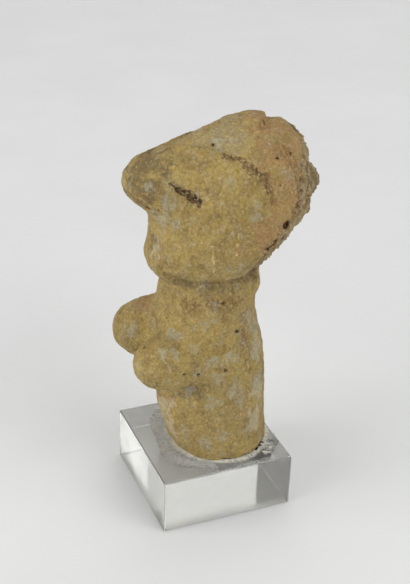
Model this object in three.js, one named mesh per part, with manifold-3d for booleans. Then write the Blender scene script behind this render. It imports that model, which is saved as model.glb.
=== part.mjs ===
// A broken terracotta figurine of a standing woman with a bird-like head, glued to a block of clear acrylic.
// Millimetres, +Z up. The figure faces -Y, and its left side is +X.
// The origin is the middle of the block's underside.
import * as THREE from "three";
import { mergeVertices } from "three/addons/utils/BufferGeometryUtils.js";
import Module from "manifold-3d";

const wasm = await Module();
wasm.setup();

// Driving dimensions, in millimetres.
const FIGURE_HEIGHT = 88; // from the broken base to the top of the head
const FIGURE_SETBACK = 3; // how far behind the block's middle the broken base stands
const FIGURE_OFFSET = 1; // how far to the figure's left of the block's middle
const BLOCK_WIDTH = 35; // along X
const BLOCK_DEPTH = 35; // along Y
const BLOCK_HEIGHT = 15;
const BLOCK_ARRIS = 0.3; // the small bevel along each edge of the block
const ADHESIVE_FILM = 0.3; // under the broken base
const ADHESIVE_RISE = 0.6; // up the figure's wall, above the film
const ADHESIVE_SPREAD = 3.8; // out over the block from the figure's wall
const ADHESIVE_EDGE = 0.3; // thickness at the outer edge
const ADHESIVE_MARGIN = 0.3; // kept from the block's arris
const SEAT_CLEARANCE = 0.3; // between the fired clay and the adhesive
const FIGURE_TURN = 5; // degrees that the figure is turned on its block, towards its right

// The figure is a free form, worked out in its own units: hundredths of its height, from the middle of its
// broken base, with the same axes as the whole part.
const UNIT = FIGURE_HEIGHT / 100;
const CELL = 2; // spacing of the grid on which the figure's surface is found
const SURROUND = { x: 24, y: 36, above: 6, below: 8 }; // the grid's reach, sideways and past the top and base
const BURIED = 5; // how far the torso's form runs on below the broken base, before the base is cut

// The torso's cross-sections, from the broken base up into the head.
const TORSO = [
  { z: 0, y: 0.3, halfWidth: 15.9, halfDepth: 14.6 },
  { z: 14, y: -2.2, halfWidth: 15.6, halfDepth: 15.9 },
  { z: 28, y: -2.4, halfWidth: 15.2, halfDepth: 15.1 },
  { z: 42, y: -4.5, halfWidth: 14.5, halfDepth: 14.2 },
  { z: 50, y: -4.7, halfWidth: 14, halfDepth: 13.4 },
  { z: 57, y: -4.5, halfWidth: 12.5, halfDepth: 12.9 },
  { z: 70, y: -3.9, halfWidth: 12, halfDepth: 12.1 },
];
const BREASTS = [
  { x: 10.3, y: -18.3, z: 33.2, halfWidth: 7.7, halfDepth: 9.9, halfHeight: 7.9 },
  { x: -9.9, y: -19.1, z: 33.6, halfWidth: 7.9, halfDepth: 10.2, halfHeight: 8.7 },
];
const BREAST_BLEND = 6;

const HEAD = [
  { y: 2.6, z: 76.9, halfWidth: 16.5, halfDepth: 21.7, halfHeight: 17.7, lean: 12.4 }, // skull
  { y: 7.3, z: 82.8, halfWidth: 16, halfDepth: 16.6, halfHeight: 16.8, lean: 0 }, // crown
  { y: 5.3, z: 70.8, halfWidth: 14, halfDepth: 16.2, halfHeight: 15.3, lean: 0 }, // nape
  { y: -6.9, z: 63.1, halfWidth: 15, halfDepth: 15.6, halfHeight: 9.4, lean: 12 }, // jaw
  { y: -10.9, z: 71.4, halfWidth: 12, halfDepth: 9.2, halfHeight: 9, lean: 0 }, // cheeks and mouth
  { y: -5.9, z: 85.4, halfWidth: 9, halfDepth: 12.1, halfHeight: 10.3, lean: 17.3 }, // crest
  { y: -15.3, z: 82.5, halfWidth: 9, halfDepth: 8.8, halfHeight: 9.7, lean: 20 }, // brow
  { y: -22.6, z: 83.6, halfWidth: 6, halfDepth: 6.2, halfHeight: 6.1, lean: 0 }, // nose
];
const HEAD_BLEND = 5;
// The flat side of the face passes x at y, and turns in towards the nose by taper degrees.
const CHEEK = { x: 10.2, y: -20, taper: 16, blend: 3 };
const NECK_BLEND = 2;
const LUMP_BLEND = 1.5;
const REAR_STUB = { x: 4.4, y: 5, z: 52.8, halfWidth: 4.6, halfDepth: 4.6, halfHeight: 5 };
const REAR_LUMP = { x: -5.1, y: 22.9, z: 78.1, halfWidth: 7.8, halfDepth: 5.7, halfHeight: 6.1 };

// Where the back of the head has broken away: each break passes a point and faces out along its normal.
const BREAKS = [
  { x: 0, y: 19.3, z: 95.5, normal: { x: 0.01, y: 0.85, z: 0.52 } },
  { x: 8, y: 20.7, z: 82, normal: { x: 0.31, y: 0.95, z: 0.08 } },
  { x: 12, y: 10.6, z: 65, normal: { x: 0.48, y: 0.65, z: -0.59 } },
];
const BREAK_BLEND = 1.2;
const BREAK_GRAIN = { height: 0.5, across: 0.9, up: 0.8, skew: 0.35 }; // waves in the breaks, radians a unit

// The narrow eyes are grooves pressed into the sides of the face: the left one here, and its mirror image.
const EYE = { from: { x: 8.1, y: -19, z: 85.9 }, to: { x: 11.6, y: -11, z: 80.7 }, radius: 1.5 };
const EYE_SIDES = 10;
const PITS = [{ x: 15.3, y: 11.9, z: 73.7, radius: 1.4 }]; // where lumps have come away from the break
const PIT_SIDES = { around: 10, down: 6 };

// A spindle's outline: shares of its radius across, at shares of its length along.
const SPINDLE = [
  [0, 0],
  [0.45, 0.12],
  [0.75, 0.4],
  [1, 0.7],
  [0.75, 0.9],
  [0, 1],
];

// The adhesive's outer edge swings in and out of its even spread: a count of lobes, one of them at an angle.
const ADHESIVE_LOBES = [
  { count: 5, swing: 0.28, angle: -129 },
  { count: 2, swing: 0.1, angle: -100 },
];
const ADHESIVE_SIDES = 56;
const ADHESIVE_STEPS = 4; // up the hollow curve from the outer edge to the wall

// How the surface is found: each vertex moves onto the form in a few rounds, by a slope over a small step.
const PULL = { rounds: 3, step: 0.02, leastSlope: 0.05, reach: 0.5 };
const RELAX = { rounds: 2, share: 0.5 };
const TINY = 1e-9; // a slope that counts as none
const MERGED = 1e-4; // vertices nearer than this are one

const DEGREE = Math.PI / 180;

// Fields: each is below zero inside its form and rises with distance from it.

function ellipsoid({ x = 0, y, z, halfWidth, halfDepth, halfHeight, lean = 0 }) {
  const cos = Math.cos(lean * DEGREE);
  const sin = Math.sin(lean * DEGREE);
  return (p) => {
    const dy = p.y - y;
    const dz = p.z - z;
    const a = (p.x - x) / halfWidth;
    const b = (dy * cos + dz * sin) / halfDepth;
    const c = (dz * cos - dy * sin) / halfHeight;
    const k = Math.hypot(a, b, c);
    const slope = Math.hypot(a / halfWidth, b / halfDepth, c / halfHeight);
    return slope < TINY ? -Math.min(halfWidth, halfDepth, halfHeight) : (k * (k - 1)) / slope;
  };
}

// The cross-section at a height, on smooth curves through the sections that are given.
function sectionAt(sections, z) {
  const last = sections.length - 1;
  if (z <= sections[0].z) return sections[0];
  if (z >= sections[last].z) return sections[last];
  const i = sections.findIndex((s) => s.z > z) - 1;
  const near = [i - 1, i, i + 1, i + 2].map((n) => sections[THREE.MathUtils.clamp(n, 0, last)]);
  const t = (z - near[1].z) / (near[2].z - near[1].z);
  const between = (key) => {
    const [a, b, c, d] = near.map((s) => s[key]);
    const inSlope = ((c - a) * (near[2].z - near[1].z)) / (near[2].z - near[0].z);
    const outSlope = ((d - b) * (near[2].z - near[1].z)) / (near[3].z - near[1].z);
    const bend = 2 * (b - c) + inSlope + outSlope;
    return b + t * (inSlope + t * (3 * (c - b) - 2 * inSlope - outSlope + t * bend));
  };
  return { z, y: between("y"), halfWidth: between("halfWidth"), halfDepth: between("halfDepth") };
}

function column(sections) {
  const top = sections[sections.length - 1].z;
  const bottom = sections[0].z - BURIED;
  return (p) => {
    const s = sectionAt(sections, p.z);
    const k = Math.hypot(p.x / s.halfWidth, (p.y - s.y) / s.halfDepth);
    return Math.max((k - 1) * Math.min(s.halfWidth, s.halfDepth), p.z - top, bottom - p.z);
  };
}

function joined(a, b, blend) {
  const h = Math.max(blend - Math.abs(a - b), 0) / blend;
  return Math.min(a, b) - (h * h * blend) / 4;
}

const cutBy = (a, b, blend) => -joined(-a, -b, blend);

const torso = column(TORSO);
const breasts = BREASTS.map(ellipsoid);
const headForms = HEAD.map(ellipsoid);
const rearStub = ellipsoid(REAR_STUB);
const rearLump = ellipsoid(REAR_LUMP);

function beyond(broken, p) {
  const { normal } = broken;
  const { height, across, up, skew } = BREAK_GRAIN;
  const distance = (p.x - broken.x) * normal.x + (p.y - broken.y) * normal.y + (p.z - broken.z) * normal.z;
  return distance + height * Math.sin(across * p.x + skew * p.z) * Math.cos(up * p.z - skew * p.x);
}

function head(p) {
  const whole = headForms.map((form) => form(p)).reduce((a, b) => joined(a, b, HEAD_BLEND));
  const turn = CHEEK.taper * DEGREE;
  const outside = (Math.abs(p.x) - CHEEK.x) * Math.cos(turn) - (p.y - CHEEK.y) * Math.sin(turn);
  const flatSided = cutBy(whole, outside, CHEEK.blend);
  const broken = BREAKS.reduce((d, part) => cutBy(d, beyond(part, p), BREAK_BLEND), flatSided);
  return joined(broken, rearLump(p), LUMP_BLEND);
}

function figure(p) {
  let d = torso(p);
  for (const breast of breasts) d = joined(d, breast(p), BREAST_BLEND);
  d = joined(d, head(p), NECK_BLEND);
  return joined(d, rearStub(p), LUMP_BLEND);
}

// The surface where a field is zero, as an indexed mesh: one vertex in each grid cell that it crosses, moved
// onto it, and one quad round each grid edge that it crosses.
function surfaceOf(field, low, high, cell) {
  const [nx, ny, nz] = ["x", "y", "z"].map((axis) => Math.ceil((high[axis] - low[axis]) / cell) + 1);
  const at = (i, j, k) => i + nx * (j + ny * k);
  const place = (i, j, k) => new THREE.Vector3(low.x + i * cell, low.y + j * cell, low.z + k * cell);
  const value = new Float32Array(nx * ny * nz);
  for (let k = 0; k < nz; k++)
    for (let j = 0; j < ny; j++) for (let i = 0; i < nx; i++) value[at(i, j, k)] = field(place(i, j, k));

  const corners = [0, 1, 2, 3, 4, 5, 6, 7].map((c) => [c & 1, (c >> 1) & 1, (c >> 2) & 1]);
  const edges = [];
  corners.forEach((a, ia) =>
    corners.forEach((b, ib) => {
      const apart = Math.abs(a[0] - b[0]) + Math.abs(a[1] - b[1]) + Math.abs(a[2] - b[2]);
      if (ib > ia && apart === 1) edges.push([a, b]);
    }),
  );
  const vertexOf = new Map();
  const positions = [];
  for (let k = 0; k < nz - 1; k++)
    for (let j = 0; j < ny - 1; j++)
      for (let i = 0; i < nx - 1; i++) {
        const crossings = [];
        for (const [a, b] of edges) {
          const va = value[at(i + a[0], j + a[1], k + a[2])];
          const vb = value[at(i + b[0], j + b[1], k + b[2])];
          if (va < 0 === vb < 0) continue;
          const from = place(i + a[0], j + a[1], k + a[2]);
          crossings.push(from.lerp(place(i + b[0], j + b[1], k + b[2]), va / (va - vb)));
        }
        if (!crossings.length) continue;
        const sum = crossings.reduce((total, p) => total.add(p), new THREE.Vector3());
        vertexOf.set(at(i, j, k), positions.length / 3);
        positions.push(...pulledOnto(field, sum.divideScalar(crossings.length), cell).toArray());
      }

  const index = [];
  const steps = [
    [1, 0, 0],
    [0, 1, 0],
    [0, 0, 1],
  ];
  for (let k = 1; k < nz - 1; k++)
    for (let j = 1; j < ny - 1; j++)
      for (let i = 1; i < nx - 1; i++)
        steps.forEach((step, axis) => {
          const inside = value[at(i, j, k)] < 0;
          if (inside === value[at(i + step[0], j + step[1], k + step[2])] < 0) return;
          const u = steps[(axis + 1) % 3];
          const v = steps[(axis + 2) % 3];
          const cellBack = (s, t) => {
            const [di, dj, dk] = u.map((_, n) => s * u[n] + t * v[n]);
            return vertexOf.get(at(i - di, j - dj, k - dk));
          };
          const quad = [cellBack(0, 0), cellBack(1, 0), cellBack(1, 1), cellBack(0, 1)];
          if (!inside) quad.reverse();
          index.push(quad[0], quad[1], quad[2], quad[0], quad[2], quad[3]);
        });
  for (let round = 0; round < RELAX.rounds; round++) relax(positions, index, field, cell);
  return new THREE.BufferGeometry()
    .setAttribute("position", new THREE.Float32BufferAttribute(positions, 3))
    .setIndex(index);
}

// Each vertex moved towards the middle of its neighbours and back onto the surface: the facets even out.
function relax(positions, index, field, cell) {
  const sums = Array.from({ length: positions.length / 3 }, () => ({ sum: new THREE.Vector3(), count: 0 }));
  const vertex = (i) => new THREE.Vector3().fromArray(positions, 3 * i);
  for (let i = 0; i < index.length; i++) {
    const next = index[i % 3 === 2 ? i - 2 : i + 1];
    sums[index[i]].sum.add(vertex(next));
    sums[index[i]].count++;
  }
  sums.forEach(({ sum, count }, i) => {
    const moved = vertex(i).lerp(sum.divideScalar(count), RELAX.share);
    pulledOnto(field, moved, cell).toArray(positions, 3 * i);
  });
}

// The point moved along the field's slope onto its zero surface, by no more than its reach.
function pulledOnto(field, point, cell) {
  const step = PULL.step * cell;
  const moved = point.clone();
  for (let round = 0; round < PULL.rounds; round++) {
    const d = field(moved);
    const slope = new THREE.Vector3(
      field(moved.clone().setX(moved.x + step)) - d,
      field(moved.clone().setY(moved.y + step)) - d,
      field(moved.clone().setZ(moved.z + step)) - d,
    ).divideScalar(step);
    moved.addScaledVector(slope, -d / Math.max(slope.lengthSq(), PULL.leastSlope));
  }
  const shift = moved.sub(point).clampLength(0, PULL.reach * cell);
  return point.clone().add(shift);
}

// A closed geometry as a solid, and a solid as a geometry.
function solidOf(geometry) {
  const g = geometry.clone();
  g.deleteAttribute("normal");
  g.deleteAttribute("uv");
  const merged = mergeVertices(g, MERGED);
  const mesh = new wasm.Mesh({
    numProp: 3,
    vertProperties: merged.attributes.position.array,
    triVerts: new Uint32Array(merged.index.array),
  });
  return new wasm.Manifold(mesh);
}

function geometryOf(solid) {
  const mesh = solid.getMesh();
  const g = new THREE.BufferGeometry()
    .setAttribute("position", new THREE.BufferAttribute(mesh.vertProperties, 3))
    .setIndex(new THREE.BufferAttribute(mesh.triVerts, 1))
    .toNonIndexed();
  g.computeVertexNormals();
  return g;
}

// A spindle from one point to another, thickest past its middle.
function spindle({ from, to, radius }) {
  const start = new THREE.Vector3().copy(from);
  const along = new THREE.Vector3().copy(to).sub(start);
  const profile = SPINDLE.map(([across, t]) => new THREE.Vector2(across * radius, t * along.length()));
  const turned = new THREE.Quaternion().setFromUnitVectors(new THREE.Vector3(0, 1, 0), along.normalize());
  const lathe = new THREE.LatheGeometry(profile, EYE_SIDES).applyQuaternion(turned);
  return lathe.translate(start.x, start.y, start.z);
}

const mirrored = (point) => ({ ...point, x: -point.x });

function figurineGeometry() {
  const low = new THREE.Vector3(-SURROUND.x, -SURROUND.y, -SURROUND.below);
  const top = Math.max(...HEAD.map((form) => form.z + form.halfHeight)) + SURROUND.above;
  const high = new THREE.Vector3(SURROUND.x, SURROUND.y, top);
  let solid = solidOf(surfaceOf(figure, low, high, CELL));
  const pits = PITS.map(({ x, y, z, radius }) =>
    new THREE.SphereGeometry(radius, PIT_SIDES.around, PIT_SIDES.down).translate(x, y, z),
  );
  const ground = new THREE.BoxGeometry(2 * SURROUND.x, 2 * SURROUND.y, 2 * SURROUND.below);
  const tools = [
    spindle(EYE),
    spindle({ ...EYE, from: mirrored(EYE.from), to: mirrored(EYE.to) }),
    ...pits,
    ground.translate(0, 0, -SURROUND.below),
  ];
  for (const tool of tools) solid = solid.subtract(solidOf(tool));
  return geometryOf(solid).scale(UNIT, UNIT, UNIT);
}

// How far the figure's wall stands from its axis in a direction, at a height above its broken base.
function wallRadius(angle, height) {
  const s = sectionAt(TORSO, height / UNIT);
  const cos = Math.cos(angle) / s.halfWidth;
  const sin = Math.sin(angle) / s.halfDepth;
  const a = cos * cos + sin * sin;
  const b = (-2 * sin * s.y) / s.halfDepth;
  const c = (s.y / s.halfDepth) ** 2 - 1;
  return (UNIT * (-b + Math.sqrt(b * b - 4 * a * c))) / (2 * a);
}

// A closed skin through rings of as many points each, with a cap on the first ring and one on the last.
function skinOf(rings, firstCap, lastCap) {
  const sides = rings[0].length;
  const points = [firstCap, ...rings.flat(), lastCap];
  const last = points.length - 1;
  const index = [];
  for (let i = 0; i < sides; i++) {
    const j = (i + 1) % sides;
    index.push(0, 1 + j, 1 + i);
    rings.slice(1).forEach((_, n) => {
      const [low, high] = [1 + n * sides, 1 + (n + 1) * sides];
      index.push(low + i, low + j, high + j, low + i, high + j, high + i);
    });
    index.push(last - sides + i, last - sides + j, last);
  }
  return new THREE.BufferGeometry().setFromPoints(points).setIndex(index);
}

// The pool of set adhesive in the figure's own frame, with its underside at zero height.
function adhesiveGeometry() {
  const seat = ADHESIVE_FILM + SEAT_CLEARANCE;
  const top = ADHESIVE_FILM + ADHESIVE_RISE;
  const ring = (radiusAt, z) =>
    Array.from({ length: ADHESIVE_SIDES }, (_, i) => {
      const angle = (2 * Math.PI * i) / ADHESIVE_SIDES;
      const radius = radiusAt(angle);
      return new THREE.Vector3(radius * Math.cos(angle), radius * Math.sin(angle), z);
    });
  const wall = (z) => (angle) => wallRadius(angle, z - seat) + SEAT_CLEARANCE;
  const lobeAt = (angle) => (lobe) => lobe.swing * Math.cos(lobe.count * (angle - lobe.angle * DEGREE));
  const edge = (angle) => {
    const swing = ADHESIVE_LOBES.map(lobeAt(angle)).reduce((a, b) => a + b, 1);
    return wall(0)(angle) + ADHESIVE_SPREAD * swing;
  };
  const rings = [ring(edge, 0)];
  for (let i = 0; i <= ADHESIVE_STEPS; i++) {
    const t = i / ADHESIVE_STEPS;
    const between = (angle) => edge(angle) + (wall(top)(angle) - edge(angle)) * t;
    rings.push(ring(between, ADHESIVE_EDGE + (top - ADHESIVE_EDGE) * t ** 3));
  }
  rings.push(ring(wall(ADHESIVE_FILM), ADHESIVE_FILM));
  return skinOf(rings, new THREE.Vector3(), new THREE.Vector3(0, 0, ADHESIVE_FILM));
}

// The pool as it lies on the block, ending where the block's top does.
function trimmedAdhesive(placed) {
  const inset = 2 * (BLOCK_ARRIS + ADHESIVE_MARGIN);
  const over = new THREE.BoxGeometry(BLOCK_WIDTH - inset, BLOCK_DEPTH - inset, 2 * BLOCK_HEIGHT);
  return geometryOf(solidOf(placed).intersect(solidOf(over.translate(0, 0, BLOCK_HEIGHT))));
}

function blockGeometry() {
  const outline = new THREE.Shape();
  const x = BLOCK_WIDTH / 2 - BLOCK_ARRIS;
  const y = BLOCK_DEPTH / 2 - BLOCK_ARRIS;
  outline.moveTo(-x, -y).lineTo(x, -y).lineTo(x, y).lineTo(-x, y).closePath();
  return new THREE.ExtrudeGeometry(outline, {
    depth: BLOCK_HEIGHT - 2 * BLOCK_ARRIS,
    bevelThickness: BLOCK_ARRIS,
    bevelSize: BLOCK_ARRIS,
    bevelSegments: 1,
  }).translate(0, 0, BLOCK_ARRIS);
}

function named(name, geometry, material) {
  const mesh = new THREE.Mesh(geometry, material);
  mesh.name = name;
  return mesh;
}

const clay = new THREE.MeshStandardMaterial({ color: 0xa58a58, roughness: 0.9, metalness: 0 });
const acrylic = new THREE.MeshStandardMaterial({
  color: 0xe8ecec,
  roughness: 0.05,
  metalness: 0,
  transparent: true,
  opacity: 0.35,
});
const resin = new THREE.MeshStandardMaterial({
  color: 0xd9d8dc,
  roughness: 0.25,
  metalness: 0,
  transparent: true,
  opacity: 0.6,
});

const figurine = named("figurine", figurineGeometry(), clay);
figurine.position.set(FIGURE_OFFSET, FIGURE_SETBACK, BLOCK_HEIGHT + ADHESIVE_FILM + SEAT_CLEARANCE);
figurine.rotation.z = -FIGURE_TURN * DEGREE;

const pool = adhesiveGeometry()
  .rotateZ(-FIGURE_TURN * DEGREE)
  .translate(FIGURE_OFFSET, FIGURE_SETBACK, BLOCK_HEIGHT);

const object = new THREE.Group();
object.add(figurine);
object.add(named("adhesive", trimmedAdhesive(pool), resin));
object.add(named("acrylic_block", blockGeometry(), acrylic));

export default object;
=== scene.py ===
"""Looks of a broken terracotta figurine glued upright on a clear acrylic block.

Lengths are in metres, apart from the clay's own frame, which is in millimetres: its origin is on the
figurine's base, its -Y is where the face points and its +X is the figurine's left.
"""
import math

import bpy
import numpy as np
from mathutils import Matrix, Vector, noise


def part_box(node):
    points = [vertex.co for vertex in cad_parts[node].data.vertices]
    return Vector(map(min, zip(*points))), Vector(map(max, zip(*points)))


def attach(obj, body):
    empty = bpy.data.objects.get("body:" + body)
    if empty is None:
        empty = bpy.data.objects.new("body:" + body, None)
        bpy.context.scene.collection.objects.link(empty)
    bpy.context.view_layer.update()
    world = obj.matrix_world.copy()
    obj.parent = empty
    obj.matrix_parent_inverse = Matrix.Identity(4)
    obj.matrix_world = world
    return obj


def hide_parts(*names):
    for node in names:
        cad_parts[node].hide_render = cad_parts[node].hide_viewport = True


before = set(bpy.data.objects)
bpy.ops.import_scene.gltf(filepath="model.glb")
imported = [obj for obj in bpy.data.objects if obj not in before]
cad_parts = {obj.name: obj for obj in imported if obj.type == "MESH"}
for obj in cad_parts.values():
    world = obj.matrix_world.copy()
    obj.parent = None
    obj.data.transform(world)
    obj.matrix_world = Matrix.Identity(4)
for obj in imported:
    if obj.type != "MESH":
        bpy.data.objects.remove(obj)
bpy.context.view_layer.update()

MM = 0.001

# Where the figurine stands in the row's frame, and how far it is turned on its block.
CLAY_PLACE_MM = (1.0, 3.0, 15.6)
CLAY_TURN = math.radians(5)

# The camera: a 71 mm lens, looking down on the figurine's left side.
CAMERA_PLACE = (0.23157, -0.10074, 0.1929)
CAMERA_TURN = (61.734, -1.832, 67.685)
CAMERA_LENS = 71.29
CAMERA_SENSOR = 36

# The clay's mesh: the size of its faces, and the rounds that take the facets off.
CLAY_CELL = 0.38 * MM
CLAY_SMOOTHING = {"factor": 0.5, "iterations": 4}
# Corners of the CAD meshes closer together than this are one.
MERGED = 0.01 * MM

# Noise on the clay: size across in mm, height in mm, octaves, and a shift that makes each field its own.
HUMPS = {"size": 8, "height": 0.3, "octaves": 2, "shift": 3}
DENTS = {"size": 2.6, "height": 0.2, "octaves": 3, "shift": 17}
GRAIN = {"size": 1.1, "height": 0.06, "octaves": 2, "shift": 29}
CRUMBS = {"size": 1.3, "height": 0.5, "octaves": 3, "shift": 41}
CHIPS = {"size": 4.5, "height": 0.65, "octaves": 2, "shift": 47}
WOBBLE = {"size": 2.2, "height": 1, "octaves": 3, "shift": 53}
PORES = {"size": 1.9, "height": 1, "octaves": 2, "shift": 67}

# Small open pores: the noise levels between which one opens, and its depth in mm.
PORE_LEVEL = (0.85, 1.0)
PORE_DEPTH = 0.35

# The upper edge of the pad of clay pressed on each side of the head, from the nose to the back, in mm.
PAD_EDGE = (
    (-0.4, -18.6, 80.1),
    (-0.3, -16.0, 80.9),
    (2.4, -12.3, 82.0),
    (4.6, -8.7, 82.4),
    (6.8, -5.2, 82.0),
    (8.5, -3.5, 81.0),
    (9.8, -0.9, 80.8),
    (12.3, 1.9, 78.9),
    (13.5, 4.2, 77.2),
    (14.3, 5.3, 74.5),
    (14.6, 5.6, 71.0),
)
PAD = {"step": 0.65, "reach": 6, "soft": 0.4, "lip": 0.2, "lip_width": 1.1}

# Damage along lines, in mm: the crack along the pad's rear half, the pits under the jaw, down the back edge
# of the head, down the torso's side and along the lump, a crack and some pits on the unseen right side,
# a short crack over the left breast, and two scratches down the jaw.
CRACK_LINE = PAD_EDGE[5:10]
JAW_LINE = (
    (9.0, -12.2, 44.9),
    (11.0, -9.1, 45.4),
    (11.9, -6.4, 45.7),
    (12.2, -3.5, 44.9),
    (11.1, 0.9, 45.1),
)
REAR_LINE = (
    (10.4, 10.1, 82.3),
    (12.7, 13.4, 75.1),
    (12.9, 13.0, 66.4),
    (12.5, 10.3, 64.2),
    (12.8, 6.8, 58.8),
)
SIDE_LINE = ((11.4, 4.8, 46.5), (11.6, 2.5, 39.5), (12.2, 3.0, 33.0), (12.6, 4.0, 26.0))
LUMP_LINE = (
    (9.0, 15.8, 80.0),
    (9.5, 16.4, 77.5),
    (9.3, 17.0, 73.9),
    (11.3, 16.2, 71.7),
    (11.6, 15.6, 68.1),
)
RIGHT_LINE = ((-9.5, -2.0, 80.8), (-13.0, 3.4, 77.6), (-14.0, 6.0, 73.0))
RIGHT_NECK_LINE = ((-10.6, 3.0, 48.0), (-12.2, -4.0, 43.5))
BREAST_LINE = ((11.7, -11.5, 35.6), (12.0, -9.3, 35.5))
SCRATCHES = (
    ((11.7, -7.0, 64.0), (11.9, -6.6, 58.7), (12.1, -6.3, 53.3)),
    ((13.2, -1.0, 63.5), (12.8, -1.1, 58.2)),
)
SCRATCH = {"width": 0.5, "depth": 0.1, "wobble": 0.15}
CRACK = {"width": 0.95, "depth": 0.5, "edge": (-0.1, 0.15), "dark": 0.28}

# The lower edge of the jaw, with the step in to the neck, painted darker in the crease as shade, and the
# painted shade on the neck below it, in mm.
JAW_EDGE = (
    (6.4, -17.7, 53.2),
    (8.8, -14.7, 52.1),
    (10.0, -10.9, 50.9),
    (11.2, -6.3, 50.7),
    (10.9, -1.3, 50.7),
    (9.8, 1.6, 50.6),
    (7.4, 5.0, 49.8),
)
CREASE = {"width": 2.4, "depth": 0.8, "soft": 0.35, "lip": 0.15, "dark": 0.3}
NECK_SHADE_LINE = (
    (6.0, -17.0, 51.2),
    (9.0, -13.5, 50.0),
    (11.0, -8.5, 49.2),
    (11.5, -3.3, 49.0),
    (10.4, 2.0, 49.0),
    (8.0, 6.5, 48.8),
)
NECK_SHADE = {"width": 5, "amount": 0.95}

# Bands of small pits: the line of each, how far it reaches in mm, and how full it is.
PIT_BANDS = (
    (CRACK_LINE, 1.7, 1.0),
    (JAW_LINE, 2.6, 0.7),
    (REAR_LINE, 2.6, 0.65),
    (LUMP_LINE, 1.2, 1.0),
    (SIDE_LINE, 2.6, 0.7),
    (RIGHT_LINE, 1.2, 0.7),
    (RIGHT_NECK_LINE, 2.0, 0.6),
    (BREAST_LINE, 0.6, 1.0),
)
# The share of its reach within which a band is at its fullest, how ragged it is, and how rough its clay is.
BAND_CORE = 0.35
BAND_WOBBLE = 0.35
PITTED_ROUGHNESS = 0.6

# The nick in the crest, behind a line, and the hollow beside the left breast: in mm.
NICK_LINE = ((-6.0, 10.8, 86.4), (-1.7, 9.4, 87.1), (3.1, 7.4, 87.1), (5.2, 5.2, 86.3))
NICK = {"reach": 4.6, "depth": 1.2, "side": (8, 4.5), "soft": 0.5}
HOLLOW = {"place": (11.6, -11.0, 21.3), "reach": 3.2, "depth": 0.5}

# The eyes, seen from the side: the middle line of each pressed slit, its half width at both ends, in mm, and
# how soft, how ragged and how crumbly it is.
EYE_LINE = ((0, -16.0, 75.2), (0, -10.3, 71.4))
EYE_WIDTH = (0.35, 1.15)
EYE = {"soft": 0.25, "wobble": 0.5, "crumbs": 0.9}

# Planes of the old breaks at the back of the head: a point in mm and the way each faces.
BREAK_PLANES = (
    ((0, 17.0, 84.0), (0.01, 0.85, 0.52)),
    ((7.0, 18.2, 72.2), (0.31, 0.95, 0.08)),
    ((10.6, 9.3, 57.2), (0.48, 0.65, -0.59)),
)
# How near a plane the clay is broken, and the heights between which the breaks begin, in mm.
BREAK_REACH = (-1.6, -0.3)
BREAK_LOWEST = (49, 53)
# Where the skin of the head's sides ends at the broken back: y at heights z, how soft and ragged that line
# is and the step down to the bare clay, in mm, and how dark the line is painted, as dirt and shade.
BARE_HEIGHTS = (55, 59, 62, 64, 66.5, 75, 80, 84)
BARE_FRONTS = (5.4, 7.0, 8.8, 10.0, 12.6, 13.4, 15.2, 17)
BARE_SOFT = (-0.3, 0.4)
BARE_WOBBLE = 1.1
BARE_STEP = 0.25
BARE_RIM = 3

# Round marks, with x, y, z and radius in mm: the small holes, and where the clay is limy, pale, pinkish,
# smoked or deep ochre.
# Some of the smoked marks are painted shade: on the lump at the back, which faces away from the light, and in
# the hollow beside the left breast.
HOLES = (
    (12.8, 10.6, 64.4, 1.0),
    (13.3, 8.2, 61.0, 0.6),
    (12.9, 6.8, 58.6, 0.6),
    (3.1, 7.4, 87.1, 0.7),
    (15.6, -13.8, 28.9, 0.4),
    (14.1, -9.7, 27.3, 0.5),
    (12.0, 0.5, 36.9, 0.5),
    (12.1, -3.5, 45.2, 0.7),
    (11.6, -7.8, 45.5, 0.4),
    (9.0, -21.9, 34.0, 0.4),
    (3.9, -20.3, 68.2, 0.7),
    (5.7, -18.2, 68.0, 0.4),
    (7.2, -16.6, 60.4, 0.4),
    (5.2, -5.4, 83.3, 0.4),
    (12.6, 7.6, 59.7, 0.6),
    (12.7, 14.3, 73.0, 0.5),
    (10.3, 11.9, 81.6, 0.45),
    (11.7, 8.0, 81.0, 0.4),
)
HOLE_DEPTH = 0.8
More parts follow.
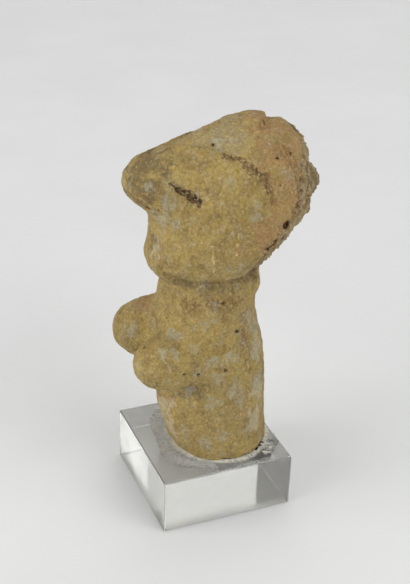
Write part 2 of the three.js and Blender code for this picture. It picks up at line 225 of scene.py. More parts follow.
LIME_MARKS = (
    (9.1, -15.3, 36.9, 1.9),
    (13.5, -17.4, 34.0, 2.6),
    (12.9, -11.3, 34.1, 1.8),
    (12.3, -7.0, 40.0, 2.0),
    (12.0, -5.7, 45.2, 2.0),
    (10.3, 3.0, 39.5, 2.6),
    (12.1, 0.2, 36.1, 2.2),
    (11.9, 1.8, 33.0, 2.6),
    (12.8, -0.3, 30.9, 2.4),
    (13.3, -6.2, 29.6, 2.2),
    (14.2, -9.8, 28.4, 1.8),
    (13.1, -4.7, 25.0, 2.4),
    (13.1, 1.2, 20.2, 2.8),
    (13.1, 1.6, 17.2, 2.2),
    (13.1, -5.7, 17.5, 2.2),
    (12.3, 4.7, 9.2, 3.0),
    (13.8, -2.2, 8.3, 2.2),
    (12.3, -6.9, 5.1, 2.2),
    (9.5, -11.4, 8.6, 2.2),
    (11.0, -11.4, 21.5, 2.0),
    (-12.5, -4.0, 34.0, 3.5),
    (-12.0, 2.0, 24.0, 3.0),
    (-12.5, -3.0, 14.0, 2.5),
    (-12.0, -6.0, 58.0, 3.0),
    (-13.0, 4.0, 68.0, 2.5),
    (-9.0, 9.0, 40.0, 3.5),
    (-6.0, 11.0, 29.0, 4.0),
    (-8.0, 10.0, 15.0, 3.0),
    (2.0, 12.0, 38.0, 3.0),
    (-4.0, -22.4, 31.6, 2.6),
    (5.8, -20.9, 74.0, 1.6),
    (7.7, -16.4, 70.2, 2.0),
    (8.6, -14.9, 65.4, 2.2),
    (4.9, -4.4, 83.8, 1.8),
    (13.0, 10.6, 77.9, 2.2),
    (14.1, 2.4, 67.9, 1.8),
    (7.9, 6.5, 34.3, 4.0),
    (9.0, 6.9, 28.5, 3.5),
    (10.2, 6.9, 21.0, 4.0),
    (6.0, -18.0, 66.0, 3.0),
)
PALE_MARKS = (
    (1.0, -17.0, 20.0, 6.0),
    (3.0, -15.5, 13.0, 5.0),
    (4.5, -14.0, 6.0, 4.0),
    (9.0, 8.0, 30.0, 4.0),
    (10.0, 8.5, 18.0, 4.5),
    (11.5, 7.0, 10.0, 4.0),
    (3.5, -18.5, 58.0, 3.0),
)
WARM_MARKS = (
    (10.6, 7.6, 82.5, 5.5),
    (14.3, 10.6, 71.6, 5.0),
    (14.2, 4.2, 65.0, 4.0),
    (8.2, 12.1, 83.7, 5.0),
    (13.0, -0.4, 59.5, 2.6),
    (4.8, -22.0, 70.8, 2.0),
    (6.7, -17.8, 68.7, 1.6),
    (-6.8, -16.5, 38.5, 5.0),
    (4.2, -15.3, 14.8, 4.0),
    (5.1, -13.5, 6.0, 3.4),
    (12.8, 3.4, 14.2, 2.2),
)
# Smoke, and painted shade on the lump at the back and in the hollow beside the left breast.
SMOKE_AND_SHADE_MARKS = (
    (3.0, -20.5, 79.0, 7.0),
    (4.5, -22.0, 72.5, 6.5),
    (7.2, 9.3, 21.2, 3.5),
    (11.6, -11.0, 21.3, 4.0),
    (0.5, 22.0, 71.5, 7.0),
    (3.5, 20.5, 69.5, 5.0),
    (-0.7, 21.7, 75.0, 5.0),
    (1.9, -18.6, 58.6, 2.2),
    (12.0, 5.0, 36.5, 2.5),
)
OCHRE_MARKS = (
    (12.9, -1.7, 61.7, 1.5),
    (9.6, -14.2, 30.0, 3.0),
    (12.6, -4.0, 33.0, 2.0),
)
# The shares of its radius between which a mark fades, and how ragged it is.
MARK_EDGE = (1.15, 0.4)
MARK_WOBBLE = 0.7

# Where the head turns pinkish towards the back: the front of that zone (y) at heights (z), in mm.
WARM_HEIGHTS = (54, 62, 66, 71, 77, 80, 82, 86)
WARM_FRONTS = (5, 1.5, 3, 5, 3.5, 1, 2, 2)
WARM = {"lowest": (53, 57), "soft": (-2, 3), "amount": 0.9, "wobble": 1.5}
# The crest above the pad is greyer in front of that zone.
CREST_GREY = 0.9
CREST_FROM = (76, 79)

# The chipped lower rim: how far it reaches above the base, and how deep the chips are, in mm, and how far
# they are painted darker as dirt and shade.
RIM = {"reach": 1.1, "depth": 0.3, "wobble": 0.9, "chipped": (-0.3, 0.3), "dark": 0.5}
# How low the fine relief lies where dirt and painted shade start, and where they are darkest, in mm.
HOLLOW_LEVEL = (-0.2, -0.5)

# The acrylic block, how wide its frosted arrises are, and how deep its underside and its top face reach.
BLOCK = {"half_width": 17.5 * MM, "height": 15 * MM, "arris": 0.5 * MM, "skin": 0.05 * MM}

# The acrylic: a faint waviness in mm, handling smears, the scratched top face, and the milky underside.
RIPPLES = {"noise": (7, 2), "height": 0.02, "strength": 0.3}
SMEARS = {"noise": (5, 5, 0.6), "level": (0.45, 0.75), "roughness": (0, 0.04)}
TOP_HAZE = {"noise": (4, 5, 0.6), "level": (0.3, 0.7), "spread": (0.8, 1.2), "amount": (0.1, 0.2)}
UNDERSIDE = {"roughness": 0.12, "clear": 0.62}
SAWN_ROUGHNESS = 0.5
ACRYLIC_INDEX = 1.49

# The film of set adhesive: how finely it is cut, where above its underside its skin moves and its fillet
# starts, the whitish blob at one side and the clearer film round it, how far the fillet reaches towards the
# clay, and the film's unevenness and looks.
FILM_CUTS = 3
FILM_LIFT = (0.1 * MM, 0.4 * MM)
FILM_FILLET = (0.45 * MM, 0.75 * MM)
FILM_CRUMBS = {"size": 1.1, "height": 0.35, "octaves": 3, "shift": 113}
FILM_BLOB = {"place": (12.2, 11.6), "reach": (4.2, 1.8), "height": 0.25, "white": (0, 0.12 * MM)}
FILM_CLEAR = {"reach": (8, 4), "left": 0.45}
FILM_CLOSED = 1.1 * MM
FILM_WAVES = {"size": 3, "height": 0.03, "octaves": 3, "shift": 97}
FILM_CLOUD = {"noise": (3.5, 3, 0.5), "level": (0.3, 0.7), "amount": (0.27, 0.33)}
FILM_CHIPPED = {"noise": (0.8, 4, 0.65), "level": (0.36, 0.6), "amount": (0.5, 1)}
FILM_BUMPS = {"noise": (1.8, 3, 0.5), "height": 0.006}
FILM_ROUGHNESS = {"noise": (1.6, 3), "level": (0.3, 0.7), "values": (0.2, 0.4)}
FILM_INDEX = 1.12


def linear(red, green, blue):
    """A screen colour, each part from 0 to 255, as the linear colour that a shader takes."""
    return tuple(((part / 255 + 0.055) / 1.055) ** 2.4 for part in (red, green, blue)) + (1,)


OCHRE = linear(157, 134, 78)
YELLOW_OCHRE = linear(170, 146, 82)
BROWN_OCHRE = linear(128, 107, 62)
ORANGE_OCHRE = linear(152, 121, 67)
CREAM_OCHRE = linear(182, 163, 118)
DEEP_OCHRE = linear(150, 122, 58)
UMBER = linear(108, 91, 60)
WARM_CLAY = linear(163, 126, 82)
BARE_CLAY = linear(162, 147, 114)
PALE_CLAY = linear(184, 169, 136)
LIME = linear(163, 157, 131)
DULL_CLAY = linear(160, 144, 108)
PALE_SPECK = linear(198, 174, 118)
BROWN_RUST = linear(130, 99, 58)
RUST = linear(110, 81, 47)
# Dark brown for the hollows: dirt, and painted shade.
DIRT_AND_SHADE = linear(50, 40, 28)
FILM_GREY = linear(236, 235, 232)
FILM_WHITE = linear(226, 224, 208)
ACRYLIC = linear(251, 251, 247)
PAPER = linear(238, 239, 239)
FLAG_CLOTH = linear(40, 34, 24)

# Coats of colour on the clay, one over another: the colour, its noise (size in mm, detail, roughness and
# upward stretch), the noise levels between which it comes to show, its amount, and the mask that pushes the
# noise up and by how much.
CLAY_COATS = (
    (YELLOW_OCHRE, (8, 3, 0.55, 1), (0.36, 0.64), 1, None, 0),
    (BROWN_OCHRE, (3.6, 6, 0.68, 1), (0.44, 0.66), 0.8, None, 0),
    (ORANGE_OCHRE, (3.2, 5, 0.6, 1), (0.5, 0.68), 0.5, None, 0),
    (CREAM_OCHRE, (2.6, 5, 0.6, 1), (0.52, 0.7), 0.5, None, 0),
    (DULL_CLAY, (3, 5, 0.6, 1), (0.6, 0.85), 0.7, "dull", 0.3),
    (WARM_CLAY, (4, 5, 0.6, 1), (0.6, 0.85), 0.75, "warm", 0.3),
    (DEEP_OCHRE, (2, 4, 0.6, 1), (0.6, 0.75), 0.95, "ochre", 0.42),
    (BARE_CLAY, (1.4, 5, 0.65, 1), (0.58, 0.85), 0.8, "bare", 0.35),
    (BROWN_OCHRE, (3.4, 6, 0.7, 1), (0.66, 0.84), 0.75, "bare", 0.2),
    (UMBER, (1.8, 5, 0.7, 1), (0.74, 0.86), 0.6, "bare", 0.2),
    (PALE_CLAY, (2, 5, 0.65, 1.5), (0.58, 0.85), 0.8, "pale", 0.35),
    (LIME, (5, 6, 0.7, 1.6), (0.56, 0.7), 0.4, None, 0),
    # Umber over the smoke and the painted shade: the smoked marks and the band under the jaw.
    (UMBER, (2.4, 6, 0.72, 1), (0.6, 0.92), 0.75, "smoke_and_shade", 0.36),
    (LIME, (2.4, 6, 0.75, 2.2), (0.53, 0.7), 0.65, "lime", 0.13),
    (LIME, (1.2, 5, 0.7, 2), (0.58, 0.7), 0.5, "lime", 0.1),
    (BROWN_RUST, (1.3, 4, 0.6, 1), (0.6, 0.85), 0.7, "pitted", 0.35),
    (PALE_SPECK, (0.75, 2, 0.5, 1), (0.58, 0.7), 0.35, None, 0),
    (RUST, (0.9, 4, 0.65, 1), (0.68, 0.84), 0.75, "pitted", 0.25),
    (CREAM_OCHRE, (0.7, 4, 0.65, 1), (0.7, 0.8), 0.6, "pitted", 0.2),
    (DIRT_AND_SHADE, (1.0, 4, 0.65, 1), (0.75, 0.83), 0.55, "pitted", 0.22),
    (PALE_SPECK, (0.9, 1, 0.5, 1), (0.6, 0.9), 0.85, "scratch", 0.4),
    # Dirt and painted shade in cracks, holes, pores, the chipped rim, the jaw crease, low places of the
    # relief and inside the eye slits.
    (RUST, (0.8, 3, 0.6, 1), (0.62, 0.8), 0.85, "dirt_and_shade", 0.5),
    (DIRT_AND_SHADE, (0.7, 3, 0.6, 1), (0.78, 0.96), 0.9, "dirt_and_shade", 0.45),
    (RUST, (1.1, 3, 0.6, 1), (0.7, 0.9), 0.9, "eye", 0.5),
    (DIRT_AND_SHADE, (1.3, 4, 0.7, 1), (0.76, 0.9), 0.95, "eye", 0.35),
    (CREAM_OCHRE, (0.8, 3, 0.6, 1), (0.74, 0.82), 0.7, "eye", 0.2),
)
# The clay's sandy grain of light and dark, its roughness, and its bumps finer than the mesh: a noise and a
# height in mm for each.
CLAY_GRAIN = {"noise": (0.7, 5, 0.65, 1), "level": (0.3, 0.7), "shade": (0.76, 1.22)}
CLAY_ROUGHNESS = {"noise": (1.5, 3, 0.55, 1), "level": (0.3, 0.7), "values": (0.82, 0.97)}
CLAY_BUMPS = (((1.6, 5, 0.6, 1), 1.0), ((0.45, 3, 0.6, 1), 0.15))
# The studio's matt surfaces.
STUDIO_SHADE = {"noise": (60, 2), "level": (0.3, 0.7), "values": (0.97, 1)}
STUDIO_ROUGHNESS = 0.9

# A Mix node has sockets of one name for numbers and for colours, so its colour sockets go by number.
MIX_FIRST, MIX_SECOND, MIX_RESULT = 6, 7, 2


def ease(value, start, end):
    """0 up to start, 1 from end on and a smooth change between; end may be the smaller one."""
    part = np.clip((value - start) / (end - start), 0, 1)
    return part * part * (3 - 2 * part)


def field(points, kind):
    """One of the noises above at points in mm, times its height."""
    gain, spread = 0.9, 2.1
    shifted = points / kind["size"] + kind["shift"]
    values = [noise.fractal(p, gain, spread, kind["octaves"]) for p in shifted.tolist()]
    return kind["height"] * np.array(values)


def to_clay(points):
    """Points of the row's frame, in metres, in the clay's own frame, in mm."""
    turn = np.array(Matrix.Rotation(CLAY_TURN, 3, "Z"))
    return (points / MM - np.array(CLAY_PLACE_MM)) @ turn.T


def line_distance(points, line):
    """Distance of points from a line of several points, and how far along it each is, from 0 to 1."""
    best = np.full(len(points), np.inf)
    along = np.zeros(len(points))
    spans = len(line) - 1
    for index in range(spans):
        start, end = np.array(line[index]), np.array(line[index + 1])
        way = end - start
        part = np.clip((points - start) @ way / (way @ way), 0, 1)
        distance = np.linalg.norm(points - start - part[:, None] * way, axis=1)
        nearer = distance < best
        best = np.where(nearer, distance, best)
        along = np.where(nearer, (index + part) / spans, along)
    return best, along


def marks(points, places, wobble):
    """How strongly round marks with ragged edges show at points, from 0 to 1."""
    shown = np.zeros(len(points))
    for x, y, z, radius in places:
        distance = np.linalg.norm(points - (x, y, z), axis=1) / radius
        shown = np.maximum(shown, ease(distance + MARK_WOBBLE * wobble, *MARK_EDGE))
    return shown


def broken(points, wobble):
    """1 on the old breaks at the back of the head, fading to 0 on the modelled skin."""
    out = np.full(len(points), -np.inf)
    for place, facing in BREAK_PLANES:
        out = np.maximum(out, (points - place) @ facing)
    behind = points[:, 1] - np.interp(points[:, 2], BARE_HEIGHTS, BARE_FRONTS) + BARE_WOBBLE * wobble
    return np.maximum(ease(out, *BREAK_REACH), ease(behind, *BARE_SOFT)) * ease(points[:, 2], *BREAK_LOWEST)


def above_line(points, line):
    """Height of points above a line from the front to the back, and their distance from it, in mm."""
    places = np.array(line)
    distance, _ = line_distance(points, line)
    return points[:, 2] - np.interp(points[:, 1], places[:, 1], places[:, 2]), distance


def pad_relief(above, distance):
    """Height in mm of the pad's stepped upper edge."""
    lowered = above * ease(distance, 0, PAD["soft"]) * ease(distance, PAD["reach"], PAD["soft"])
    lip = ~above * ease(distance, PAD["lip_width"], 0)
    return PAD["lip"] * lip - PAD["step"] * lowered


def along_lines(points, lines, width, wobble):
    """How strongly lines of a width in mm show at points, from 0 to 1."""
    shown = np.zeros(len(points))
    for line in lines:
        distance, _ = line_distance(points, line)
        shown = np.maximum(shown, ease(distance + SCRATCH["wobble"] * np.abs(wobble), width, 0))
    return shown


def pit_bands(points, wobble):
    """How full of small pits the clay is at points, from 0 to 1."""
    full = np.zeros(len(points))
    for line, reach, most in PIT_BANDS:
        distance, _ = line_distance(points, line)
        part = distance / reach + BAND_WOBBLE * wobble
        full = np.maximum(full, most * ease(part, 1, BAND_CORE))
    return full


def warm_zone(points, wobble):
    """The pinkish rear of the head, from 0 to 1."""
    front = np.interp(points[:, 2], WARM_HEIGHTS, WARM_FRONTS)
    behind = ease(points[:, 1] - front + WARM["wobble"] * wobble, *WARM["soft"])
    return WARM["amount"] * behind * ease(points[:, 2], *WARM["lowest"])


def nicked(points):
    """The step down behind the nick in the crest, from 0 to 1."""
    line = np.array(NICK_LINE)
    distance, _ = line_distance(points, NICK_LINE)
    behind = points[:, 1] - np.interp(points[:, 0], line[:, 0], line[:, 1])
    step = ease(behind, 0, NICK["soft"]) * ease(distance, NICK["reach"], 0)
    return step * ease(points[:, 0], *NICK["side"]) * ease(points[:, 2], *CREST_FROM)


def clay_relief(points):
    """Height of the clay's relief in mm, and the masks that colour it, at points in its own frame."""
    sided = np.column_stack((np.abs(points[:, 0]), points[:, 1:]))
    wobble = field(points, WOBBLE)
    crumbs = field(points, CRUMBS)
    grain = field(points, GRAIN) + field(points, DENTS)
    eye_distance, eye_along = line_distance(points * (0, 1, 1), EYE_LINE)
    eye_reach = np.interp(eye_along, (0, 1), EYE_WIDTH) + EYE["wobble"] * wobble
    eye = ease(eye_distance, eye_reach + EYE["soft"], eye_reach - EYE["soft"])
    cracked = along_lines(points, (CRACK_LINE, RIGHT_LINE), CRACK["width"], wobble)
    crack = cracked * ease(crumbs, *CRACK["edge"])
    scratch = along_lines(points, SCRATCHES, SCRATCH["width"], wobble)
    pitted = pit_bands(points, wobble)
    holes = marks(points, HOLES, wobble)
    pores = ease(field(points, PORES), *PORE_LEVEL)
    rim = ease(points[:, 2] - RIM["wobble"] * wobble, RIM["reach"], 0) * ease(wobble, *RIM["chipped"])
    hollow_distance = np.linalg.norm(points - HOLLOW["place"], axis=1)
    over_pad, edge_distance = above_line(sided, PAD_EDGE)
    above = over_pad > 0
    over_jaw, jaw_distance = above_line(sided, JAW_EDGE)
    near_jaw = ease(jaw_distance, CREASE["width"], 0)
    crease = near_jaw * ease(over_jaw, CREASE["soft"], -CREASE["soft"])
    bare = broken(points, wobble)
    rough = np.clip(bare + EYE["crumbs"] * eye + PITTED_ROUGHNESS * pitted, 0, 1)

    relief = field(points, HUMPS) + grain + pad_relief(above, edge_distance)
    relief += rough * crumbs + bare * field(points, CHIPS)
    relief -= CRACK["depth"] * crack + HOLE_DEPTH * holes + PORE_DEPTH * pores + RIM["depth"] * rim
    relief -= SCRATCH["depth"] * scratch + NICK["depth"] * nicked(points) + BARE_STEP * bare
    relief -= HOLLOW["depth"] * ease(hollow_distance, HOLLOW["reach"], 0)
    relief += CREASE["lip"] * near_jaw - (CREASE["depth"] + CREASE["lip"]) * crease

    # Painted shade: a band on the neck under the jaw, and a darker line in the jaw crease; the crack is
    # painted darker too, as dirt and shade.
    neck_shade = NECK_SHADE["amount"] * along_lines(sided, (NECK_SHADE_LINE,), NECK_SHADE["width"], wobble)
    lined = CRACK["dark"] * crack + CREASE["dark"] * crease
    # A darker line painted where the skin meets the breaks: dirt and painted shade.
    bare_rim = BARE_RIM * bare * (1 - bare) * ease(crumbs, *HOLLOW_LEVEL[::-1])
    # Low places of the fine relief are painted darker: dirt and painted shade.
    low_places = ease(grain + rough * crumbs, *HOLLOW_LEVEL)
    warm = np.maximum(marks(points, WARM_MARKS, wobble), warm_zone(points, wobble))
    crest = CREST_GREY * above * ease(edge_distance, 0, PAD["soft"]) * ease(points[:, 2], *CREST_FROM)
    masks = {
        # Dirt and painted shade in the hollows, along the rim and in the jaw crease.
        "dirt_and_shade": np.clip(lined + holes + pores + RIM["dark"] * rim + low_places + bare_rim, 0, 1),
        "eye": eye,
        "pitted": pitted,
        "scratch": scratch,
        "lime": marks(points, LIME_MARKS, wobble),
        "dull": crest * (1 - warm),
        "warm": warm,
        # Smoke, with the painted shade under the jaw, on the lump and in the hollow.
        "smoke_and_shade": np.maximum(marks(points, SMOKE_AND_SHADE_MARKS, wobble), neck_shade),
        "ochre": marks(points, OCHRE_MARKS, wobble),
        "bare": bare,
        "pale": marks(points, PALE_MARKS, wobble),
    }
    return relief, masks


def read_vectors(items, name):
    """A vector of each item of a mesh as an array, such as the place of each vertex."""
    flat = np.zeros(len(items) * 3)
    items.foreach_get(name, flat)
    return flat.reshape(-1, 3)


def finish_mesh(mesh, points, masks):
    """Puts new places and mask values on a mesh's vertices, and makes it look smooth."""
    mesh.vertices.foreach_set("co", points.astype(np.float32).ravel())
    for name, values in masks.items():
        layer = mesh.attributes.new(name, "FLOAT", "POINT")
        layer.data.foreach_set("value", values.astype(np.float32))
    mesh.shade_smooth()
    mesh.update()


def dense_copy(node, name, modifiers):
    """A new object with a finer copy of a CAD node's mesh: modifiers are (type, settings) pairs."""
    source = bpy.data.objects.new(name + "_source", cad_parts[node].data.copy())
    source.data.materials.clear()
    bpy.context.scene.collection.objects.link(source)
    for kind, settings in modifiers:
        modifier = source.modifiers.new(kind.lower(), kind)
        for key, value in settings.items():
            setattr(modifier, key, value)
    graph = bpy.context.evaluated_depsgraph_get()
    mesh = bpy.data.meshes.new_from_object(source.evaluated_get(graph))
    bpy.data.objects.remove(source)
    piece = bpy.data.objects.new(name, mesh)
    bpy.context.scene.collection.objects.link(piece)
    return piece


def kept_inside(points, node):
    """Points held within the box of a CAD node."""
    low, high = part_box(node)
    return np.clip(points, np.array(low), np.array(high))


class Shader:
    """A node material in the making."""

    def __init__(self, name):
        self.material = bpy.data.materials.new(name)
        self.material.use_nodes = True
        self.nodes = self.material.node_tree.nodes
        self.links = self.material.node_tree.links
        self.surface = self.nodes["Principled BSDF"]
        self.place = self.nodes.new("ShaderNodeTexCoord").outputs["Object"]

    def put(self, value, socket):
        """Sets a socket to a number or colour, or links it to another socket."""
        if isinstance(value, bpy.types.NodeSocket):
            self.links.new(value, socket)
        else:
            socket.default_value = value

    def noise(self, size_mm, detail=3, roughness=0.55, stretch=1):
        """A noise of features about size_mm across, stretched that many times upwards."""
        place = self.place
        if stretch != 1:
            mapping = self.nodes.new("ShaderNodeMapping")
            mapping.inputs["Scale"].default_value = (1, 1, 1 / stretch)
            self.links.new(place, mapping.inputs["Vector"])
            place = mapping.outputs["Vector"]
        texture = self.nodes.new("ShaderNodeTexNoise")
        self.links.new(place, texture.inputs["Vector"])
        texture.inputs["Scale"].default_value = 1 / (size_mm * MM)
        texture.inputs["Detail"].default_value = detail
        texture.inputs["Roughness"].default_value = roughness
        return texture.outputs["Fac"]

    def mask(self, name):
        """A mask stored on the mesh's vertices."""
        attribute = self.nodes.new("ShaderNodeAttribute")
        attribute.attribute_name = name
        return attribute.outputs["Fac"]

    def math(self, operation, first, second=0.0):
        """Arithmetic on two numbers or sockets."""
        node = self.nodes.new("ShaderNodeMath")
        node.operation = operation
        node.use_clamp = operation in ("ADD", "SUBTRACT", "MULTIPLY")
        self.put(first, node.inputs[0])
        self.put(second, node.inputs[1])
        return node.outputs[0]

    def span(self, value, start, end, low=0.0, high=1.0):
        """A value between start and end, smoothly spread over low to high."""
        node = self.nodes.new("ShaderNodeMapRange")
        node.interpolation_type = "SMOOTHSTEP"
        for name, setting in zip(("From Min", "From Max", "To Min", "To Max"), (start, end, low, high)):
            node.inputs[name].default_value = setting
        self.links.new(value, node.inputs["Value"])
        return node.outputs["Result"]

    def raised(self, noise_value, mask, amount):
        """A noise made likelier to pass a threshold where a mask shows."""
        return self.math("ADD", noise_value, self.math("MULTIPLY", mask, amount))

    def mix(self, factor, first, second, blend="MIX"):
        """One colour over another."""
        node = self.nodes.new("ShaderNodeMix")
        node.data_type = "RGBA"
        node.blend_type = blend
        self.put(factor, node.inputs["Factor"])
        self.put(first, node.inputs[MIX_FIRST])
        self.put(second, node.inputs[MIX_SECOND])
        return node.outputs[MIX_RESULT]

    def bump(self, layers, strength=1.0):
        """Bumps from pairs of a height socket and a height in mm, linked to the surface."""
        normal = None
        for height, size_mm in layers:
            node = self.nodes.new("ShaderNodeBump")
            node.inputs["Strength"].default_value = strength
            node.inputs["Distance"].default_value = size_mm * MM
            self.links.new(height, node.inputs["Height"])
            if normal:
                self.links.new(normal, node.inputs["Normal"])
            normal = node.outputs["Normal"]
        self.links.new(normal, self.surface.inputs["Normal"])

    def set(self, **inputs):
        """Sets or links the surface's own sockets, named with _ for a space."""
        for name, value in inputs.items():
            self.put(value, self.surface.inputs[name.replace("_", " ")])
        return self.material


def terracotta():
    """Dry fired clay: mottled ochre with pinkish places, grey lime, dirt and painted shade in the hollows and
    under the jaw, and pale breaks.
    """
    clay = Shader("terracotta_looks")
    colour = OCHRE
    for coat, kind, level, amount, mask, push in CLAY_COATS:
        shown = clay.noise(*kind)
        if mask:
            shown = clay.raised(shown, clay.mask(mask), push)
        colour = clay.mix(clay.span(shown, *level, 0, amount), colour, coat)
    grain = clay.span(clay.noise(*CLAY_GRAIN["noise"]), *CLAY_GRAIN["level"], *CLAY_GRAIN["shade"])
    clay.bump([(clay.noise(*kind), height) for kind, height in CLAY_BUMPS])
    roughness = clay.noise(*CLAY_ROUGHNESS["noise"])
    return clay.set(
        Base_Color=clay.mix(1.0, colour, grain, "MULTIPLY"),
        Roughness=clay.span(roughness, *CLAY_ROUGHNESS["level"], *CLAY_ROUGHNESS["values"]),
    )


def acrylic():
    """Polished cast acrylic with faint handling marks."""
    clear = Shader("clear_acrylic_looks")
    clear.bump(((clear.noise(*RIPPLES["noise"]), RIPPLES["height"]),), RIPPLES["strength"])
    smears = clear.span(clear.noise(*SMEARS["noise"]), *SMEARS["level"], *SMEARS["roughness"])
    parts = clear.nodes.new("ShaderNodeSeparateXYZ")
    clear.links.new(clear.place, parts.inputs["Vector"])
    half_width, height, arris, skin = (BLOCK[name] for name in ("half_width", "height", "arris", "skin"))
    offsets = [clear.math("ABSOLUTE", parts.outputs[axis]) for axis in "XY"]
    across = [clear.span(offset, half_width - arris, half_width) for offset in offsets]
    bottom = clear.span(parts.outputs["Z"], arris, 0)
    top = clear.span(parts.outputs["Z"], height - arris, height)
    upright = clear.math("MULTIPLY", *across)
    level = clear.math("MULTIPLY", clear.math("MAXIMUM", *across), clear.math("MAXIMUM", bottom, top))
    sawn = clear.math("MULTIPLY", clear.math("MAXIMUM", upright, level), SAWN_ROUGHNESS)
    milky = clear.span(parts.outputs["Z"], skin, 0, 0, UNDERSIDE["roughness"])
    top_face = clear.span(parts.outputs["Z"], height - skin, height, *TOP_HAZE["amount"])
    haze = clear.span(clear.noise(*TOP_HAZE["noise"]), *TOP_HAZE["level"], *TOP_HAZE["spread"])
    passed = clear.span(parts.outputs["Z"], 0, skin, UNDERSIDE["clear"], 1)
    return clear.set(
        Base_Color=ACRYLIC,
        Roughness=clear.math("MAXIMUM", clear.math("MAXIMUM", smears, milky), sawn),
        Transmission_Weight=clear.math("SUBTRACT", passed, clear.math("MULTIPLY", haze, top_face)),
        IOR=ACRYLIC_INDEX,
    )


def glue():
    """Set clear adhesive: milky where it is thin, and whitish and chipped along the clay."""
    film = Shader("adhesive_looks")
    cloud = film.span(film.noise(*FILM_CLOUD["noise"]), *FILM_CLOUD["level"], *FILM_CLOUD["amount"])
    cloud = film.math("MULTIPLY", cloud, film.span(film.mask("clear"), 0, 1, 1, FILM_CLEAR["left"]))
    chips = film.span(film.noise(*FILM_CHIPPED["noise"]), *FILM_CHIPPED["level"], *FILM_CHIPPED["amount"])
    chipped = film.math("MULTIPLY", film.mask("frost"), chips)
    film.bump(((film.noise(*FILM_BUMPS["noise"]), FILM_BUMPS["height"]),))
    roughness = film.noise(*FILM_ROUGHNESS["noise"])
    return film.set(
        Base_Color=film.mix(chipped, FILM_GREY, FILM_WHITE),
        Roughness=film.span(roughness, *FILM_ROUGHNESS["level"], *FILM_ROUGHNESS["values"]),
        Transmission_Weight=film.math("SUBTRACT", 1.0, film.math("MAXIMUM", chipped, cloud)),
        IOR=FILM_INDEX,
    )


def pale(name, colour):
    """A matt studio surface with a little unevenness."""
    paper = Shader(name)
    shade = paper.span(paper.noise(*STUDIO_SHADE["noise"]), *STUDIO_SHADE["level"], *STUDIO_SHADE["values"])
    return paper.set(Base_Color=paper.mix(1.0, colour, shade, "MULTIPLY"), Roughness=STUDIO_ROUGHNESS)


def make_figurine():
    """The clay with its relief, in place of the CAD figurine."""
    piece = dense_copy(
        "figurine",
        "figurine_clay",
        (
            ("WELD", {"merge_threshold": MERGED}),
            ("SUBSURF", {"levels": 1, "render_levels": 1}),
            ("REMESH", {"mode": "VOXEL", "voxel_size": CLAY_CELL}),
            ("SMOOTH", CLAY_SMOOTHING),
        ),
    )
    mesh = piece.data
    points = read_vectors(mesh.vertices, "co")
    normals = read_vectors(mesh.vertex_normals, "vector")
    relief, masks = clay_relief(to_clay(points))
    moved = points + normals * relief[:, None] * MM
    finish_mesh(mesh, kept_inside(moved, "figurine"), masks)
    mesh.materials.append(terracotta())
    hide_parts("figurine")
    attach(piece, "root")


def make_adhesive():
    """The uneven film of adhesive, in place of the CAD one."""
    piece = dense_copy(
        "adhesive",
        "adhesive_film",
        (
            ("WELD", {"merge_threshold": MERGED}),
            ("SUBSURF", {"levels": FILM_CUTS, "render_levels": FILM_CUTS, "subdivision_type": "SIMPLE"}),
        ),
    )
    mesh = piece.data
    points = read_vectors(mesh.vertices, "co")
    low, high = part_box("adhesive")
    lift = ease(points[:, 2], low.z + FILM_LIFT[0], low.z + FILM_LIFT[1])
    fillet = ease(points[:, 2], low.z + FILM_FILLET[0], low.z + FILM_FILLET[1])
    waves = field(to_clay(points), FILM_WAVES) * MM
    crumbs = field(to_clay(points), FILM_CRUMBS) * MM
    from_blob = np.linalg.norm(points[:, :2] / MM - FILM_BLOB["place"], axis=1)
    blob = ease(from_blob, *FILM_BLOB["reach"])
    moved = points.copy()
    moved[:, 2] += lift * (waves + blob * (crumbs + FILM_BLOB["height"] * MM))
    outward = (points - np.array(CLAY_PLACE_MM) * MM) * (1, 1, 0)
    outward /= np.linalg.norm(outward, axis=1)[:, None] + MM
    closed = ease(points[:, 2], low.z + FILM_FILLET[0], high.z)
    moved -= outward * (closed * FILM_CLOSED)[:, None]
    frost = np.maximum(fillet, blob * ease(crumbs, *FILM_BLOB["white"]))
    masks = {"frost": frost, "clear": ease(from_blob, *FILM_CLEAR["reach"])}
    finish_mesh(mesh, kept_inside(moved, "adhesive"), masks)
    mesh.materials.append(glue())
    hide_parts("adhesive")
    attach(piece, "root")


def make_camera():
    """The photograph's view."""
    data = bpy.data.cameras.new("camera")
    data.lens = CAMERA_LENS
    data.sensor_width = CAMERA_SENSOR
    camera = bpy.data.objects.new("camera", data)
    camera.location = CAMERA_PLACE
    camera.rotation_euler = [math.radians(angle) for angle in CAMERA_TURN]
    bpy.context.scene.collection.objects.link(camera)
    bpy.context.scene.camera = camera


# The sweep of pale paper: its half width, its reach to the front, where it starts to rise, the radius and the
# steps of its bend, and its height; then the way it rises, and how far it lies below the block.
SWEEP = {"half_width": 1.8, "front": 2.4, "rise_at": 0.75, "radius": 0.45, "height": 1.5, "steps": 16}
SWEEP_AZIMUTH = math.radians(156.5)
SWEEP_DROP = 0.05 * MM

# The dark flag: a panel out of the picture that the block's far corner mirrors.
FLAG = {"way": (-0.81, -0.45, 0.47), "distance": 1.1, "half_size": 0.4}


def flat_piece(name, corners, faces, material):
    """A piece of the studio from corners and faces."""
    mesh = bpy.data.meshes.new(name)
    mesh.from_pydata(corners, [], faces)
    mesh.shade_smooth()
    mesh.materials.append(material)
    piece = bpy.data.objects.new(name, mesh)
    bpy.context.scene.collection.objects.link(piece)


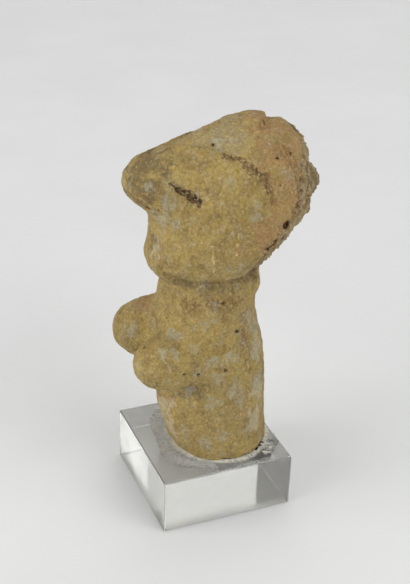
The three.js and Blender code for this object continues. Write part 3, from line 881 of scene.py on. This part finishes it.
def make_sweep():
    """The floor, which bends up into the backdrop behind the figurine."""
    profile = [(-SWEEP["front"], 0), (0, 0), (SWEEP["rise_at"], 0)]
    for step in range(1, SWEEP["steps"] + 1):
        angle = step / SWEEP["steps"] * math.pi / 2
        away = SWEEP["rise_at"] + SWEEP["radius"] * math.sin(angle)
        profile.append((away, SWEEP["radius"] * (1 - math.cos(angle))))
    profile.append((profile[-1][0], SWEEP["height"]))
    away = Vector((math.cos(SWEEP_AZIMUTH), math.sin(SWEEP_AZIMUTH), 0))
    side = Vector((-away.y, away.x, 0)) * SWEEP["half_width"]
    corners = []
    for distance, height in profile:
        middle = away * distance + Vector((0, 0, height - SWEEP_DROP))
        corners += [middle - side, middle + side]
    faces = [(2 * i, 2 * i + 1, 2 * i + 3, 2 * i + 2) for i in range(len(profile) - 1)]
    flat_piece("studio_sweep", corners, faces, pale("sweep_paper", PAPER))


def make_flag():
    """The dark panel."""
    way = Vector(FLAG["way"]).normalized()
    turn = way.to_track_quat("Z", "Y")
    half = FLAG["half_size"]
    corners = [
        way * FLAG["distance"] + turn @ Vector((x * half, y * half, 0))
        for x, y in ((-1, -1), (1, -1), (1, 1), (-1, 1))
    ]
    flat_piece("studio_flag", corners, [(0, 1, 2, 3)], pale("flag_cloth", FLAG_CLOTH))


# Soft lights: the way to each from the figurine, its distance and width in metres, and its power in watts.
LIGHTS = {
    "right_softbox": {"way": (0.8, 0.42, 0.52), "distance": 1.0, "width": 0.86, "power": 4.6},
    "left_softbox": {"way": (0.05, -0.9, 0.25), "distance": 0.9, "width": 0.8, "power": 5.8},
    "top_softbox": {"way": (-0.1, 0.05, 1), "distance": 0.9, "width": 0.7, "power": 1.8},
}
LIGHT_TARGET = Vector((0, 0, 0.05))
# The light on the backdrop, and the even light of the room.
WALL_LIGHT = {"place": (-0.5, 0.22, 1.25), "aim": (-1.15, 0.5, 1.0), "width": 0.5, "power": 4.3}
ROOM_COLOUR = (1, 0.99, 0.97, 1)
ROOM_STRENGTH = 0.36


def make_lamp(name, light, place, back):
    """A square soft light at a place, with its back turned the way given."""
    data = bpy.data.lights.new(name, "AREA")
    data.shape = "SQUARE"
    data.size = light["width"]
    data.energy = light["power"]
    lamp = bpy.data.objects.new(name, data)
    lamp.location = place
    lamp.rotation_euler = back.to_track_quat("Z", "Y").to_euler()
    bpy.context.scene.collection.objects.link(lamp)


def make_lights():
    """Softboxes, the light on the backdrop and an even pale room."""
    for name, light in LIGHTS.items():
        way = Vector(light["way"]).normalized()
        make_lamp(name, light, LIGHT_TARGET + way * light["distance"], way)
    wall_place = Vector(WALL_LIGHT["place"])
    make_lamp("wall_light", WALL_LIGHT, wall_place, wall_place - Vector(WALL_LIGHT["aim"]))
    room = bpy.data.worlds.new("room")
    room.use_nodes = True
    background = room.node_tree.nodes["Background"]
    background.inputs["Color"].default_value = ROOM_COLOUR
    background.inputs["Strength"].default_value = ROOM_STRENGTH
    bpy.context.scene.world = room


make_camera()
make_figurine()
make_adhesive()
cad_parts["acrylic_block"].material_slots[0].material = acrylic()
make_sweep()
make_flag()
make_lights()
bpy.context.scene.view_settings.view_transform = "Standard"
